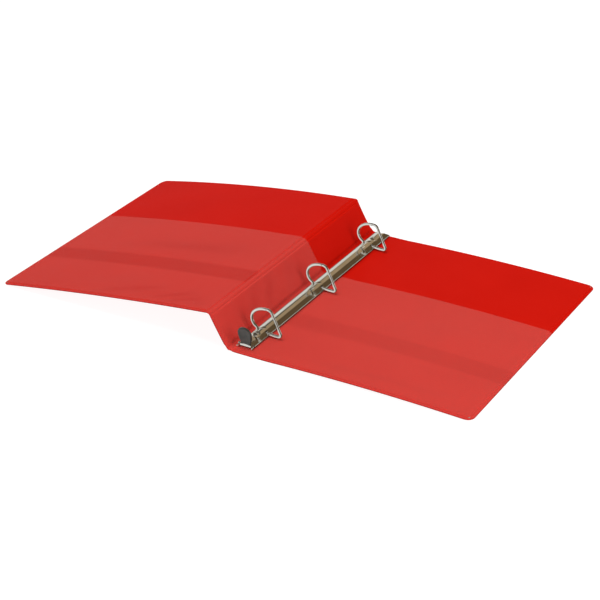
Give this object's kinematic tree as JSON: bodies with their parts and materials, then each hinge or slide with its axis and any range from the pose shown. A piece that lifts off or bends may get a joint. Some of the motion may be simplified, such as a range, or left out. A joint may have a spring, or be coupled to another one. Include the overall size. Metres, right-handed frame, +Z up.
{
  "type": "ring binder",
  "caption": "Vinyl ring binder for punched letter paper, lying open, with clear outer pockets on its covers and a lever-opened mechanism of D-shaped rings.",
  "frame": {"origin": "centre of the open binder's footprint, on the surface that it lies on", "axes": "+X from the spine towards the back cover's free edge, +Y along the spine away from the lever, +Z up"},
  "size_m": [0.5368, 0.2956, 0.038],
  "materials": {
    "vinyl_red": "soft satin vinyl, faintly grained",
    "board_grey": "plain grey chipboard",
    "film_clear": "clear flexible film, slightly milky",
    "nickel": "bright nickel plate",
    "steel_grey": "plain plated steel",
    "black_plastic": "smooth black moulding"
  },
  "bodies": {
    "back": {"back_outer_vinyl": "vinyl_red", "back_board": "board_grey", "back_inner_vinyl": "vinyl_red", "back_pocket_film": "film_clear", "rear_hinge_web": "vinyl_red", "ring_shell": "nickel", "rivet_near": "nickel", "rivet_far": "nickel", "lever_pin": "steel_grey"},
    "spine": {"spine_outer_vinyl": "vinyl_red", "spine_board": "board_grey", "spine_inner_vinyl": "vinyl_red", "spine_pocket_film": "film_clear"},
    "front": {"front_outer_vinyl": "vinyl_red", "front_board": "board_grey", "front_inner_vinyl": "vinyl_red", "front_pocket_film": "film_clear", "front_hinge_web": "vinyl_red"},
    "left_rings": {"left_blade": "steel_grey", "ring_left_near": "nickel", "ring_left_mid": "nickel", "ring_left_far": "nickel"},
    "right_rings": {"right_blade": "steel_grey", "ring_right_near": "nickel", "ring_right_mid": "nickel", "ring_right_far": "nickel"},
    "lever": {"lever_arm": "steel_grey", "lever_cap": "black_plastic"}
  },
  "joints": [
    {"name": "spine_hinge", "type": "hinge", "parent": "back", "child": "spine", "pos_m": [0.00887, 0, 0.0012], "axis": [0, 1, 0], "range_deg": [-60, 20.5]},
    {"name": "front_hinge", "type": "hinge", "parent": "spine", "child": "front", "pos_m": [-0.01113, 0, 0.0366], "axis": [0, 1, 0], "range_deg": [-20, 167]},
    {"name": "left_ring_hinge", "type": "hinge", "parent": "back", "child": "left_rings", "pos_m": [0.01652, 0, 0.0046], "axis": [0, -1, 0], "range_deg": [0, 10]},
    {"name": "right_ring_hinge", "type": "hinge", "parent": "back", "child": "right_rings", "pos_m": [0.02902, 0, 0.0046], "axis": [0, 1, 0], "range_deg": [0, 3.5]},
    {"name": "lever_hinge", "type": "hinge", "parent": "back", "child": "lever", "pos_m": [0.02277, -0.1352, 0.0052], "axis": [1, 0, 0], "range_deg": [0, 38]}
  ],
  "couplings": [
    {"joint": "right_ring_hinge", "follows": "left_ring_hinge", "ratio": 0.35},
    {"joint": "lever_hinge", "follows": "left_ring_hinge", "ratio": 3.8}
  ]
}
